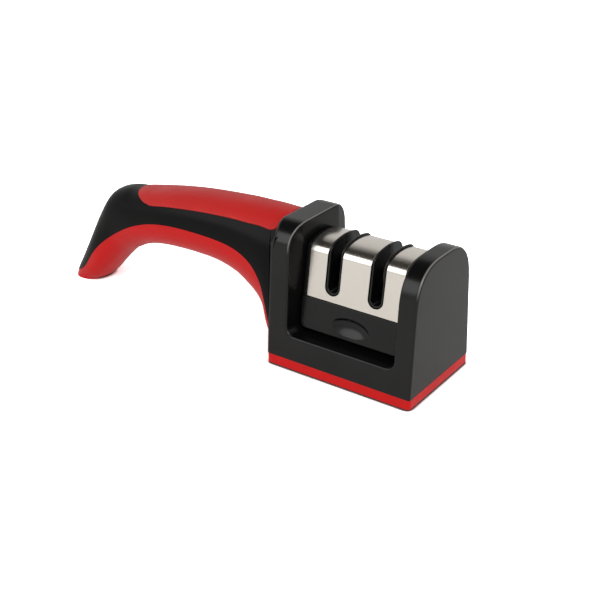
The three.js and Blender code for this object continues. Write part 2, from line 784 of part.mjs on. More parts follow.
cartridgeScrewPlaces.forEach((x, i) => {
  const screw = piece(`cartridge_screw_${i + 1}`, geometryOf(makeScrew(cartridgeScrew)), screwSteel());
  screw.position.set(x, cartridgeScrewSeat, cartridgeScrewHeight);
  screw.rotation.x = Math.PI / 2;
  cartridge.add(screw);
});

const sharpener = new THREE.Group();
sharpener.add(body, cartridge);

export default sharpener;
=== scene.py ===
import math

import bmesh
import bpy
from mathutils import Matrix, Vector


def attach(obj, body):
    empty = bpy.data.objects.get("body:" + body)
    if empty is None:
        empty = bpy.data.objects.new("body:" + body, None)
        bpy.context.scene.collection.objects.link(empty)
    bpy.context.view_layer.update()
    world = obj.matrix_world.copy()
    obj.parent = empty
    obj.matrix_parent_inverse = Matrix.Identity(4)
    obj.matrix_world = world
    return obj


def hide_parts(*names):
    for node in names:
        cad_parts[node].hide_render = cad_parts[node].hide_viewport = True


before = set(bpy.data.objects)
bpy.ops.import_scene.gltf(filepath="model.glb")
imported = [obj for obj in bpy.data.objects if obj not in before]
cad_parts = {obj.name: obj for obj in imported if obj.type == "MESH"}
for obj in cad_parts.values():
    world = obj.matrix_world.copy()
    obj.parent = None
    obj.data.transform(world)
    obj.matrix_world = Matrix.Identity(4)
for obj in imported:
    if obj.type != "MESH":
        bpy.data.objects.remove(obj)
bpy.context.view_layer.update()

mm = 0.001
beyond = 40  # cutters reach this far past the middle, in millimetres

# Small helpers around the operators


def startFresh():
    if bpy.context.mode != 'OBJECT':
        bpy.ops.object.mode_set(mode='OBJECT')
    bpy.ops.object.select_all(action='DESELECT')


def editPiece(piece):
    startFresh()
    piece.select_set(True)
    bpy.context.view_layer.objects.active = piece
    bpy.ops.object.mode_set(mode='EDIT')


def pick(kind, test):
    # selects what the test says, in edit mode
    bpy.ops.mesh.select_mode(type=kind)
    bpy.ops.mesh.select_all(action='DESELECT')
    bm = bmesh.from_edit_mesh(bpy.context.edit_object.data)
    found = {'VERT': bm.verts, 'EDGE': bm.edges, 'FACE': bm.faces}[kind]
    for one in found:
        if test(one):
            one.select_set(True)
    bm.select_flush_mode()
    bmesh.update_edit_mesh(bpy.context.edit_object.data)


def middle(edge):
    return (edge.verts[0].co + edge.verts[1].co) / 2


def along(edge, axis):
    way = edge.verts[1].co - edge.verts[0].co
    return abs(way[axis]) > 0.999 * way.length


def near(a, b):
    return abs(a - b) < 0.02 * mm


def block(name, low, high):
    # a box between two corners given in millimetres
    startFresh()
    low, high = Vector(low) * mm, Vector(high) * mm
    bpy.ops.mesh.primitive_cube_add(size=1, location=(low + high) / 2, scale=high - low)
    piece = bpy.context.active_object
    piece.name = piece.data.name = name
    bpy.ops.object.transform_apply(location=True, rotation=True, scale=True)
    return piece


def copyOf(piece, name):
    startFresh()
    piece.select_set(True)
    bpy.context.view_layer.objects.active = piece
    bpy.ops.object.duplicate()
    twin = bpy.context.active_object
    twin.name = twin.data.name = name
    return twin


def combine(piece, tool, how, keep=False):
    # boolean with another piece, which goes unless it is kept
    startFresh()
    bpy.context.view_layer.objects.active = piece
    cutter = piece.modifiers.new('combine', 'BOOLEAN')
    cutter.operation = how
    cutter.object = tool
    cutter.solver = 'EXACT'
    bpy.ops.object.modifier_apply(modifier=cutter.name)
    if not keep:
        bpy.data.objects.remove(tool)


def soften(piece, width, steps, angle):
    # rounds every edge sharper than the angle
    startFresh()
    bpy.context.view_layer.objects.active = piece
    rounding = piece.modifiers.new('soften', 'BEVEL')
    rounding.width = width * mm
    rounding.segments = steps
    rounding.limit_method = 'ANGLE'
    rounding.angle_limit = math.radians(angle)
    rounding.use_clamp_overlap = False
    bpy.ops.object.modifier_apply(modifier=rounding.name)


def smoothShade(piece, angle=32):
    startFresh()
    piece.select_set(True)
    bpy.context.view_layer.objects.active = piece
    bpy.ops.object.shade_smooth_by_angle(angle=math.radians(angle))
    # large flat faces stay flat beside their rounded edges
    even = piece.modifiers.new('even', 'WEIGHTED_NORMAL')
    even.keep_sharp = True
    bpy.ops.object.modifier_apply(modifier=even.name)


def settle(piece, finish, body, slotName, *nodes):
    # material, body and the CAD nodes that the piece stands for
    piece.data.materials.clear()
    piece.data.materials.append(finish)
    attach(piece, body)
    if nodes:
        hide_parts(*nodes)
    print('made', piece.name, len(piece.data.polygons), 'faces')


# Camera first, at the photograph's place

view = {
    'place': (212.6, -341.75, 230.53),
    'target': (-34.86, 0, 19.6),
    'roll': -0.61,
    'lens': 65.0,
    'sensor': 36,
    'clip': 10,
}


def setCamera():
    startFresh()
    bpy.ops.object.camera_add()
    camera = bpy.context.active_object
    camera.data.lens = view['lens']
    camera.data.sensor_width = view['sensor']
    camera.data.clip_start = view['clip'] * mm
    place = Vector(view['place']) * mm
    ahead = (Vector(view['target']) * mm - place).normalized()
    side = ahead.cross(Vector((0, 0, 1))).normalized()
    above = side.cross(ahead)
    roll = math.radians(view['roll'])
    sideRolled = side * math.cos(roll) + above * math.sin(roll)
    aboveRolled = above * math.cos(roll) - side * math.sin(roll)
    turn = Matrix((sideRolled, aboveRolled, -ahead)).transposed().to_4x4()
    camera.matrix_world = Matrix.Translation(place) @ turn
    bpy.context.scene.camera = camera


setCamera()
print('camera set')

# Finishes


class Wire:
    # a socket that can be used in sums
    def __init__(self, tree, socket):
        self.tree = tree
        self.socket = socket

    def maths(self, operation, first, second):
        node = self.tree.nodes.new('ShaderNodeMath')
        node.operation = operation
        for socket, value in zip(node.inputs, (first, second)):
            if isinstance(value, Wire):
                self.tree.links.new(value.socket, socket)
            else:
                socket.default_value = value
        return Wire(self.tree, node.outputs[0])

    def __add__(self, other):
        return self.maths('ADD', self, other)

    def __radd__(self, other):
        return self.maths('ADD', other, self)

    def __sub__(self, other):
        return self.maths('SUBTRACT', self, other)

    def __rsub__(self, other):
        return self.maths('SUBTRACT', other, self)

    def __mul__(self, other):
        return self.maths('MULTIPLY', self, other)

    def __rmul__(self, other):
        return self.maths('MULTIPLY', other, self)


class Board:
    # a node tree that starts empty
    def __init__(self, tree):
        self.tree = tree
        tree.nodes.clear()

    def node(self, kind, out=0, settings=None, **sockets):
        node = self.tree.nodes.new(kind)
        for key, value in (settings or {}).items():
            setattr(node, key, value)
        for key, value in sockets.items():
            # _0 is a socket by its number, Base_Color one by its name
            place = int(key[1:]) if key[1:].isdigit() else key.replace('_', ' ')
            socket = node.inputs[place]
            if isinstance(value, Wire):
                self.tree.links.new(value.socket, socket)
            else:
                socket.default_value = value
        return None if out is None else Wire(self.tree, node.outputs[out])


class Finish(Board):
    # a material with one Principled shader
    def __init__(self, name, **constants):
        self.material = bpy.data.materials.new(name)
        self.material.use_nodes = True
        super().__init__(self.material.node_tree)
        self.output = self.tree.nodes.new('ShaderNodeOutputMaterial')
        self.shader = self.tree.nodes.new('ShaderNodeBsdfPrincipled')
        self.tree.links.new(self.shader.outputs[0], self.output.inputs['Surface'])
        for socket, value in constants.items():
            self.feed(socket.replace('_', ' '), value)

    def feed(self, socket, value):
        if isinstance(value, Wire):
            self.tree.links.new(value.socket, self.shader.inputs[socket])
        else:
            self.shader.inputs[socket].default_value = value

    def place(self, scale=(1, 1, 1)):
        point = self.node('ShaderNodeTexCoord', 'Object')
        return self.node('ShaderNodeMapping', Vector=point, Scale=scale)

    def noise(self, scale, detail=3.0, rough=0.5, stretch=(1, 1, 1)):
        point = self.place(stretch)
        return self.node('ShaderNodeTexNoise', 'Fac', Vector=point,
                         Scale=scale, Detail=detail, Roughness=rough)

    def blend(self, share, first, second):
        # between two colours
        return self.node('ShaderNodeMix', 2, {'data_type': 'RGBA'}, _0=share, _6=first, _7=second)

    def colour(self, share, first, second):
        # base colour between two screen colours
        self.feed('Base Color', self.blend(share, screen(*first), screen(*second)))

    def bump(self, height, distance, strength=1.0):
        return self.node('ShaderNodeBump', Height=height, Distance=distance, Strength=strength)

    def ramp(self, value, low, high):
        # 0 under low, 1 over high
        return self.node('ShaderNodeMapRange', settings={'clamp': True},
                         Value=value, From_Min=low, From_Max=high)


def screen(red, green, blue):
    # a colour as the screen shows it, made linear
    def linear(value):
        value /= 255
        return value / 12.92 if value <= 0.04045 else ((value + 0.055) / 1.055) ** 2.4
    return (linear(red), linear(green), linear(blue), 1)


satinBlack = {
    'colour': (5, 5, 5), 'pale': (12, 11, 11),
    'roughness': 0.34, 'grain': 2600, 'grainDepth': 0.00003,
    # the housing is shinier than the handle, which starts at this x
    'handleFrom': -0.0365, 'handleCoat': 0.05, 'housingCoat': 0.45, 'coatRoughness': 0.2,
    # the dull bay face of the handle wall: its x, how near to it, where it ends at the leaning sides
    'innerFace': -0.02345, 'innerNear': (0.0004, 0.0006), 'innerSide': (0.0226, 0.0236), 'sideLean': 0.0682,
    # as in the housing: the bay face falls back from this far out
    'relief': (0.013, 0.21),
    # painted highlight on the walls' edges: its colour, then from x, to x and above this height
    'wearAndPaintedHighlight': (104, 101, 98), 'paintedHighlightEdges': [(0.0342, 0.03475, 0.047), (-0.0243, -0.02385, 0.051)],
    'paintedHighlightFade': 0.0001, 'paintedHighlightRise': 0.005,
}


def makeSatinBlack():
    s = satinBlack
    finish = Finish('satinBlack', Specular_IOR_Level=0.06, Coat_Roughness=s['coatRoughness'])
    grain = finish.noise(s['grain'], 4, 0.6)
    cloud = finish.noise(55, 3)
    flow = finish.noise(260, 2)
    plain = finish.blend(grain * 0.5 + cloud * 0.4, screen(*s['colour']), screen(*s['pale']))
    finish.feed('Roughness', grain * 0.08 + cloud * 0.08 + flow * 0.03 + (s['roughness'] - 0.1))
    finish.feed('Normal', finish.bump(grain, s['grainDepth'], 0.55))
    x, y, z = (finish.node('ShaderNodeSeparateXYZ', axis, Vector=finish.place()) for axis in 'XYZ')
    out = finish.node('ShaderNodeMath', 0, {'operation': 'ABSOLUTE'}, _0=y)
    start, slope = s['relief']
    fall = finish.node('ShaderNodeMath', 0, {'operation': 'MAXIMUM'}, _0=out - start, _1=0.0) * slope
    x = fall * (1 - finish.ramp(x, -0.001, 0.001)) + x
    # painted highlight: edges of the two walls made a little paler on shoulder and top
    wearAndPaintedHighlight = 0
    fade = s['paintedHighlightFade']
    for start, end, foot in s['paintedHighlightEdges']:
        span = finish.ramp(x, start - fade, start + fade) * (1 - finish.ramp(x, end - fade, end + fade))
        wearAndPaintedHighlight = span * finish.ramp(z, foot, foot + s['paintedHighlightRise']) + wearAndPaintedHighlight
    finish.feed('Base Color', finish.blend(wearAndPaintedHighlight * (cloud * 0.4 + 0.8), plain, screen(*s['wearAndPaintedHighlight'])))
    shine = finish.ramp(x, s['handleFrom'], s['handleFrom'] + 0.001)
    worn = cloud * 0.12 + (s['housingCoat'] - s['handleCoat'] - 0.06)
    # the handle wall's face towards the bay is duller
    off = finish.node('ShaderNodeMath', 0, {'operation': 'ABSOLUTE'}, _0=x - s['innerFace'])
    front = out + z * s['sideLean']
    inner = 1 - (1 - finish.ramp(off, *s['innerNear'])) * (1 - finish.ramp(front, *s['innerSide']))
    finish.feed('Coat Weight', shine * worn * (inner * 0.6 + 0.4) + s['handleCoat'])
    return finish.material


glossRed = {
    'colour': (194, 10, 10), 'deep': (174, 7, 8),
    'roughness': 0.34, 'grain': 3200, 'grainDepth': 0.00002,
}


def makeGlossRed():
    s = glossRed
    finish = Finish('glossRed', Specular_IOR_Level=0.18)
    grain = finish.noise(s['grain'], 3, 0.6)
    cloud = finish.noise(45, 3)
    finish.colour(cloud * 0.6 + grain * 0.3, s['colour'], s['deep'])
    finish.feed('Roughness', cloud * 0.1 + grain * 0.06 + (s['roughness'] - 0.08))
    finish.feed('Normal', finish.bump(grain, s['grainDepth'], 0.4))
    return finish.material


softRed = {
    'colour': (172, 21, 18), 'worn': (182, 33, 29),
    'roughness': 0.5, 'grain': 1900, 'grainDepth': 0.00006,
}


def makeSoftRed():
    s = softRed
    finish = Finish('softRed', Specular_IOR_Level=0.24, Sheen_Weight=0.03, Sheen_Roughness=0.4)
    grain = finish.noise(s['grain'], 5, 0.7)
    cloud = finish.noise(70, 4)
    wearAndPaintedHighlight = finish.ramp(cloud, 0.45, 0.75)
    finish.colour(wearAndPaintedHighlight * 0.35 + grain * 0.25, s['colour'], s['worn'])
    finish.feed('Roughness', grain * 0.12 + (s['roughness'] - 0.04) - wearAndPaintedHighlight * 0.08)
    finish.feed('Normal', finish.bump(grain, s['grainDepth'], 0.5))
    return finish.material


brushedSteel = {
    'colour': (226, 220, 211), 'streak': (192, 186, 178),
    'roughness': 0.22, 'lines': (25, 900, 900), 'lineDepth': 0.000006,
}


def makeBrushedSteel():
    s = brushedSteel
    finish = Finish('brushedSteel', Metallic=1.0)
    lines = finish.noise(8, 6, 0.75, s['lines'])
    fine = finish.noise(26, 4, 0.7, s['lines'])
    cloud = finish.noise(60, 3)
    finish.colour(lines * 0.6 + cloud * 0.25, s['colour'], s['streak'])
    finish.feed('Roughness', lines * 0.12 + cloud * 0.06 + (s['roughness'] - 0.09))
    finish.feed('Normal', finish.bump(fine * 0.5 + lines * 0.5, s['lineDepth'], 0.6))
    return finish.material


padRubber = {'colour': (24, 23, 23), 'dust': (48, 46, 44), 'grain': 1500}


def makePadRubber():
    s = padRubber
    finish = Finish('padRubber')
    grain = finish.noise(s['grain'], 4, 0.65)
    cloud = finish.noise(90, 3)
    finish.colour(grain * 0.3 + cloud * 0.25, s['colour'], s['dust'])
    finish.feed('Roughness', grain * 0.15 + 0.72)
    finish.feed('Normal', finish.bump(grain, 0.0001, 0.7))
    return finish.material


screwSteel = {'colour': (168, 166, 162), 'dull': (122, 120, 117)}


def makeScrewSteel():
    s = screwSteel
    finish = Finish('screwSteel', Metallic=1.0)
    spots = finish.noise(900, 4, 0.6)
    finish.colour(spots, s['colour'], s['dull'])
    finish.feed('Roughness', spots * 0.25 + 0.22)
    finish.feed('Normal', finish.bump(spots, 0.00002, 0.4))
    return finish.material


groundCarbide = {'colour': (84, 84, 88), 'dark': (58, 58, 62)}


def makeGroundCarbide():
    s = groundCarbide
    finish = Finish('groundCarbide', Metallic=0.9)
    lines = finish.noise(30, 5, 0.7, (900, 900, 30))
    finish.colour(lines, s['colour'], s['dark'])
    finish.feed('Roughness', lines * 0.2 + 0.3)
    finish.feed('Normal', finish.bump(lines, 0.00002, 0.5))
    return finish.material


# dark grey ceramic; the dark grey is partly painted shade, so that the rods stay dark deep in the slots
rodCeramic = {'colour': (62, 62, 64), 'speck': (92, 91, 90)}


def makeRodCeramic():
    s = rodCeramic
    finish = Finish('rodCeramic')
    specks = finish.ramp(finish.noise(2600, 3, 0.6), 0.52, 0.68)
    finish.colour(specks * 0.7, s['colour'], s['speck'])
    finish.feed('Roughness', specks * 0.1 + 0.55)
    finish.feed('Normal', finish.bump(specks, 0.00003, 0.5))
    return finish.material


finishes = {
    'black': makeSatinBlack(),
    'red': makeGlossRed(),
    'softRed': makeSoftRed(),
    'steel': makeBrushedSteel(),
    'rubber': makePadRubber(),
    'screw': makeScrewSteel(),
    'carbide': makeGroundCarbide(),
    'ceramic': makeRodCeramic(),
}
print('finishes made')

# Housing: two end walls with round shoulders, a sill and the open bay

housing = {
    'length': 70, 'width': 48.4, 'seam': 4.8, 'lean': 3.9, 'sill': 15.7,
    'handleWall': 62.9, 'handleShoulder': 9.8, 'handleForm': 0.5, 'handleThick': 11.7,
    'endWall': 59.3, 'endShoulder': 18.2, 'endForm': 0.587, 'endThick': 8.4,
    'flare': 0.4, 'bayCorner': 3.5, 'bayRound': 0.9,
    # rounding of the outer edges: upright, on the shoulder, on top
    'endRound': (0.9, 1.1, 1.1), 'handleRound': (0.7, 4.2, 1.5),
    # the handle wall's bay face falls back from this far out, this much on each millimetre
    'relief': (13, 0.21),
    'pocket': (42.2, 26.2, 7.5), 'pocketX': 1.55,
}


def halfWidth(z):
    lean = math.tan(math.radians(housing['lean']))
    return housing['width'] / 2 - (z - housing['seam']) * lean


def makeHousing():
    h = housing
    half = h['length'] / 2
    bayLeft = h['handleThick'] - half
    bayRight = half - h['endThick']
    high, low = h['handleWall'], h['endWall']
    # one leaning block, lower at the end wall, with the bay cut out
    shell = block('housing', (-half, -h['width'] / 2, h['seam']), (half, h['width'] / 2, high))
    editPiece(shell)
    pick('FACE', lambda face: face.normal.z > 0.9)
    bpy.ops.transform.resize(value=(1, halfWidth(high) / halfWidth(h['seam']), 1))
    bpy.ops.object.mode_set(mode='OBJECT')
    combine(shell, block('step', (0, -beyond, low), (60, beyond, high + 9)), 'DIFFERENCE')
    bay = block('bay', (bayLeft, -beyond, h['sill']), (bayRight, beyond, high + 8))
    editPiece(bay)
    pick('FACE', lambda face: face.normal.z > 0.9)
    spread = 2 * (high + 8 - h['sill']) * math.tan(math.radians(h['flare']))
    bpy.ops.transform.resize(value=(1 + spread / (bayRight - bayLeft), 1, 1))
    pick('EDGE', lambda edge: along(edge, 1) and near(middle(edge).z, h['sill'] * mm))
    bpy.ops.mesh.bevel(offset=h['bayCorner'] * mm, segments=10)
    bpy.ops.object.mode_set(mode='OBJECT')
    combine(shell, bay, 'DIFFERENCE')

    # round shoulders of both walls
    editPiece(shell)
    for top, shoulder, form in ((high, h['handleShoulder'], h['handleForm']),
                                (low, h['endShoulder'], h['endForm'])):
        pick('EDGE', lambda edge: along(edge, 0) and near(middle(edge).z, top * mm))
        bpy.ops.mesh.bevel(offset=shoulder * mm, segments=24, profile=form)
    # rounding of the two end faces' edges, which changes on the way up
    bm = bmesh.from_edit_mesh(shell.data)
    weight = bm.edges.layers.float.new('bevel_weight_edge')
    largest = max(h['endRound'] + h['handleRound'])
    for x, top, shoulder, rounds in ((-half, high, h['handleShoulder'], h['handleRound']),
                                     (half, low, h['endShoulder'], h['endRound'])):
        for edge in bm.edges:
            if all(near(v.co.x, x * mm) for v in edge.verts) and middle(edge).z > (h['seam'] + 1) * mm:
                rise = min(max((middle(edge).z / mm - top + shoulder) / shoulder, 0), 1) * 2
                first, second = rounds[:2] if rise < 1 else rounds[1:]
                edge[weight] = (first + (second - first) * (rise % 1 if rise < 2 else 1)) / largest
    bmesh.update_edit_mesh(shell.data)
    bpy.ops.object.mode_set(mode='OBJECT')
    rounding = shell.modifiers.new('rounding', 'BEVEL')
    rounding.limit_method = 'WEIGHT'
    rounding.width = largest * mm
    rounding.segments = 6
    bpy.ops.object.modifier_apply(modifier=rounding.name)

    # the handle wall's bay face is drawn back towards the front and the rear
    def onFace(vert):
        x, z = vert.co.x / mm, vert.co.z / mm
        return bayLeft - 0.6 < x < bayLeft + h['bayCorner'] + 0.1 and z > h['sill'] - 0.1

    editPiece(shell)
    start, slope = h['relief']
    for y in (-start, start):
        bpy.ops.mesh.select_all(action='SELECT')
        bpy.ops.mesh.bisect(plane_co=(0, y * mm, 0), plane_no=(0, 1, 0))
    bm = bmesh.from_edit_mesh(shell.data)
    for out in {round(abs(vert.co.y) / mm, 2) for vert in bm.verts if onFace(vert)}:
        if out > start:
            pick('VERT', lambda vert: onFace(vert) and abs(abs(vert.co.y) / mm - out) < 0.006)
            bpy.ops.transform.translate(value=(-slope * (out - start) * mm, 0, 0))

    # soft edges round the bay
    bpy.ops.mesh.select_mode(type='EDGE')
    bpy.ops.mesh.select_all(action='DESELECT')
    bpy.ops.mesh.edges_select_sharp(sharpness=math.radians(35))
    bm = bmesh.from_edit_mesh(shell.data)
    for edge in bm.edges:
        if middle(edge).z < (h['seam'] + 1) * mm:
            edge.select_set(False)
    bmesh.update_edit_mesh(shell.data)
    bpy.ops.mesh.bevel(offset=h['bayRound'] * mm, segments=4, clamp_overlap=False)
    bpy.ops.object.mode_set(mode='OBJECT')

    # pocket for the cartridge's tenon
    middleX = h['pocketX']
    long, deep, floor = h['pocket']
    pocket = block('pocket', (middleX - long / 2, -deep / 2, floor),
                   (middleX + long / 2, deep / 2, h['sill'] + 5))
    combine(shell, pocket, 'DIFFERENCE')
    return shell


shell = makeHousing()
print('housing made')

# Handle: one ring drawn out from station to station, then parted into black and red

handle = {
    'top': 61.3, 'face': -35, 'fullness': 2.35, 'ringSteps': 14, 'between': 4,
    # reach and drop of the upper line, reach and height of the lower line, half width
    'stations': [
        (-1.5, 0, -1.5, -4, 17.6), (3, 0, 7.5, -2, 17), (8, 0, 10.2, 10.4, 16.4),
        (13, 0, 13.8, 17.2, 15.9), (19, 0.2, 19.3, 22.2, 15.3), (27, 0.4, 27, 27, 14.8),
        (39, 1.2, 38, 30.1, 14.4), (53, 2.4, 52, 30.8, 14.1), (67, 4.3, 66, 30.4, 14),
        (79, 6.4, 77, 28.9, 13.8), (89, 8.2, 85, 26.4, 13.6), (97, 9, 91.4, 23.2, 13.2),
        (104.4, 12.2, 97.2, 19.8, 12.8), (111.1, 21.4, 103.2, 14.6, 12.6), (118.3, 34.2, 109.5, 8.4, 12.4),
        (127.1, 48.4, 115.3, 2.3, 11), (133, 57.8, 119.6, -0.6, 9.8), (135.4, 66.5, 124, -6, 8.8),
    ],
    'parting': [
        (5.4, -8), (5.4, -2), (5.5, 8), (5.9, 17), (7.3, 26), (10, 33.2), (14, 38.4), (19.5, 41.8), (27, 44),
        (37, 44.9), (50, 45), (62, 44.5), (73, 42.8), (83, 39.6), (92, 35.2), (101, 29.5), (109, 23.2),
        (115.5, 16.4), (121, 9.6), (126, 5.4), (131, 3.4), (137, 3), (145, 3),
    ],
}


def throughPoints(points, between):
    # a smooth line through the points, with some more between them
    line = []
    for i in range(len(points) - 1):
        a, b = Vector(points[i]), Vector(points[i + 1])
        before = Vector(points[i - 1]) if i else a * 2 - b
        after = Vector(points[i + 2]) if i + 2 < len(points) else b * 2 - a
        for step in range(between):
            t = step / between
            line.append(0.5 * (2 * a + (b - before) * t + (2 * before - 5 * a + 4 * b - after) * t * t
                               + (3 * a - before - 3 * b + after) * t ** 3))
    line.append(Vector(points[-1]))
    return line


def ringPlaces():
    # centre, lean, half height and half width of each ring, in millimetres
    h = handle
    tops = throughPoints([(h['face'] - s[0], h['top'] - s[1], s[4]) for s in h['stations']], h['between'])
    feet = throughPoints([(h['face'] - s[2], s[3], 0) for s in h['stations']], h['between'])
    places = []
    for top, foot in zip(tops, feet):
        high, low = Vector((top.x, 0, top.y)), Vector((foot.x, 0, foot.y))
        rise = high - low
        places.append(((high + low) / 2, math.atan2(rise.x, rise.z), rise.length / 2, top.z))
    return places


def makeHandleForm(name, grow=0):
    h = handle
    places = ringPlaces()
    startFresh()
    bpy.ops.mesh.primitive_plane_add(size=2 * mm, rotation=(0, math.pi / 2, 0))
    form = bpy.context.active_object
    form.name = form.data.name = name
    bpy.ops.object.transform_apply(location=True, rotation=True, scale=True)
    editPiece(form)
    bpy.ops.mesh.select_all(action='SELECT')
    bpy.ops.mesh.bevel(affect='VERTICES', offset_type='PERCENT', offset_pct=50, segments=h['ringSteps'],
                       profile=2 ** (-2 / h['fullness']))
    bpy.ops.mesh.remove_doubles(threshold=0.0001 * mm)
    bpy.ops.mesh.select_all(action='SELECT')
    spot, turned, high, wide = Vector((0, 0, 0)), 0, 1, 1
    for i, (centre, lean, halfHigh, halfWide) in enumerate(places):
        if i:
            bpy.ops.mesh.extrude_region_move()
        # upright again, to its new size, then leaned and moved
        bpy.ops.transform.rotate(value=turned, orient_axis='Y', center_override=spot)
        bpy.ops.transform.resize(value=(1, (halfWide + grow) / wide, (halfHigh + grow) / high),
                                 center_override=spot)
        bpy.ops.transform.rotate(value=-lean, orient_axis='Y', center_override=spot)
        bpy.ops.transform.translate(value=centre * mm - spot)
        spot, turned, high, wide = centre * mm, lean, halfHigh + grow, halfWide + grow
    bpy.ops.mesh.select_all(action='SELECT')
    bpy.ops.mesh.normals_make_consistent(inside=False)
    bpy.ops.object.mode_set(mode='OBJECT')
    return form


def makeParting():
    # everything under the parting line, as a block to cut with
    h = handle
    points = throughPoints(h['parting'], 4)
    startFresh()
    bpy.ops.mesh.primitive_plane_add(size=80 * mm)
    cutter = bpy.context.active_object
    cutter.name = 'parting'
    editPiece(cutter)
    pick('VERT', lambda vert: vert.co.x < 0)
    bpy.ops.mesh.delete(type='VERT')
    bpy.ops.mesh.select_all(action='SELECT')
    spot = Vector((40 * mm, 0, 0))
    for i, point in enumerate(points):
        if i:
            bpy.ops.mesh.extrude_edges_move()
        place = Vector((h['face'] - point.x, 0, point.y)) * mm
        bpy.ops.transform.translate(value=place - spot)
        spot = place
    bpy.ops.mesh.select_all(action='SELECT')
    bpy.ops.mesh.extrude_region_move(TRANSFORM_OT_translate={'value': (0, 0, -0.1)})
    bpy.ops.mesh.select_all(action='SELECT')
    bpy.ops.mesh.normals_make_consistent(inside=False)
    bpy.ops.object.mode_set(mode='OBJECT')
    return cutter


def makeHandle():
    seam = housing['seam']
    upper = makeHandleForm('handleForm')
    under = copyOf(upper, 'underCover')
    parting = makeParting()
    combine(upper, parting, 'DIFFERENCE', keep=True)
    combine(under, parting, 'INTERSECT')
    # the foot beside the housing ends at the seam, the hook's tip on the table
    for half in (upper, under):
        combine(half, block('footCut', (-60, -beyond, -20), (0, beyond, seam)), 'DIFFERENCE')
        combine(half, block('tipCut', (-190, -beyond, -20), (-60, beyond, 0)), 'DIFFERENCE')
    return upper, under


upper, under = makeHandle()
combine(shell, upper, 'UNION')
smoothShade(shell, 34)
settle(shell, finishes['black'], 'body', 'black_plastic', 'body_shell')
smoothShade(under, 34)
settle(under, finishes['red'], 'body', 'red_plastic', 'handle_under_cover')

# Soft inlay: a plan outline laid over the handle's top

inlay = {
    'wallEnd': -36.2, 'tongue': -107, 'tongueLength': 17, 'tongueHalf': 12.1, 'corner': 6,
    'proud': 0.4, 'thick': 1.4, 'rim': 0.5, 'cell': 1.6, 'above': 90, 'weld': 0.4,
}


def makeInlay():
    s = inlay
    half, reach = s['tongueHalf'], s['tongueLength']
    startFresh()
    bpy.ops.mesh.primitive_plane_add(size=1)
    piece = bpy.context.active_object
    piece.name = piece.data.name = 'softInlay'
    left = s['tongue'] - half
    piece.scale = ((s['wallEnd'] - left) * mm, 2 * half * mm, 1)
    piece.location = ((s['wallEnd'] + left) / 2 * mm, 0, s['above'] * mm)
    bpy.ops.object.transform_apply(location=True, rotation=True, scale=True)
    editPiece(piece)
    pick('VERT', lambda vert: near(vert.co.x, left * mm))
    bpy.ops.mesh.bevel(affect='VERTICES', offset=half * 0.999 * mm, segments=24, profile=0.5)
    pick('VERT', lambda vert: near(vert.co.x, s['wallEnd'] * mm))
    bpy.ops.mesh.bevel(affect='VERTICES', offset=s['corner'] * mm, segments=10, profile=0.5)
    # the round end is drawn out to an ellipse
    pick('VERT', lambda vert: vert.co.x < (s['tongue'] - 0.01) * mm)
    bpy.ops.transform.resize(value=(reach / half, 1, 1), center_override=(s['tongue'] * mm, 0, 0))
    # cells fine enough to follow the handle
    x = s['tongue'] - reach + s['cell'] / 2
    while x < s['wallEnd']:
        bpy.ops.mesh.select_all(action='SELECT')
        bpy.ops.mesh.bisect(plane_co=(x * mm, 0, 0), plane_no=(1, 0, 0))
        x += s['cell']
    y = -half + s['cell'] / 2
    while y < half:
        bpy.ops.mesh.select_all(action='SELECT')
        bpy.ops.mesh.bisect(plane_co=(0, y * mm, 0), plane_no=(0, 1, 0))
        y += s['cell']
    bpy.ops.mesh.select_all(action='SELECT')
    bpy.ops.mesh.remove_doubles(threshold=s['weld'] * mm)
    bpy.ops.object.mode_set(mode='OBJECT')
    form = makeHandleForm('inlayForm', s['proud'])
    lay = piece.modifiers.new('lay', 'SHRINKWRAP')
    lay.wrap_method = 'PROJECT'
    lay.use_project_z = True
    lay.use_negative_direction = True
    lay.use_positive_direction = False
    lay.target = form
    startFresh()
    bpy.context.view_layer.objects.active = piece
    bpy.ops.object.modifier_apply(modifier=lay.name)
    bpy.data.objects.remove(form)
    wall = piece.modifiers.new('wall', 'SOLIDIFY')
    wall.thickness = s['thick'] * mm
    wall.offset = -1
    bpy.ops.object.modifier_apply(modifier=wall.name)
    soften(piece, s['rim'], 4, 50)
    smoothShade(piece, 40)
    return piece


gripInlay = makeInlay()
settle(gripInlay, finishes['softRed'], 'body', 'soft_red', 'top_grip_inlay')

# Base plate and pad

base = {'low': 0.4, 'corner': 1.6, 'edge': 0.25, 'padInset': 0.3, 'padTop': 0.35, 'padEdge': 0.1}


def slab(name, halfX, halfY, z0, z1, corner, edge):
    piece = block(name, (-halfX, -halfY, z0), (halfX, halfY, z1))
    editPiece(piece)
    pick('EDGE', lambda one: along(one, 2))
    bpy.ops.mesh.bevel(offset=corner * mm, segments=8)
    pick('EDGE', lambda one: near(one.verts[0].co.z, one.verts[1].co.z))
    bpy.ops.mesh.bevel(offset=edge * mm, segments=3)
    bpy.ops.object.mode_set(mode='OBJECT')
    smoothShade(piece)
    return piece


b = base
halfX, halfY = housing['length'] / 2, housing['width'] / 2
plate = slab('baseStrip', halfX, halfY, b['low'], housing['seam'], b['corner'], b['edge'])
settle(plate, finishes['red'], 'body', 'red_plastic', 'base_plate')
pad = slab('pad', halfX - b['padInset'], halfY - b['padInset'], 0, b['padTop'], b['corner'], b['padEdge'])
settle(pad, finishes['rubber'], 'body', 'pad_rubber', 'non_slip_pad')

# Cartridge: black core in two halves, steel cover

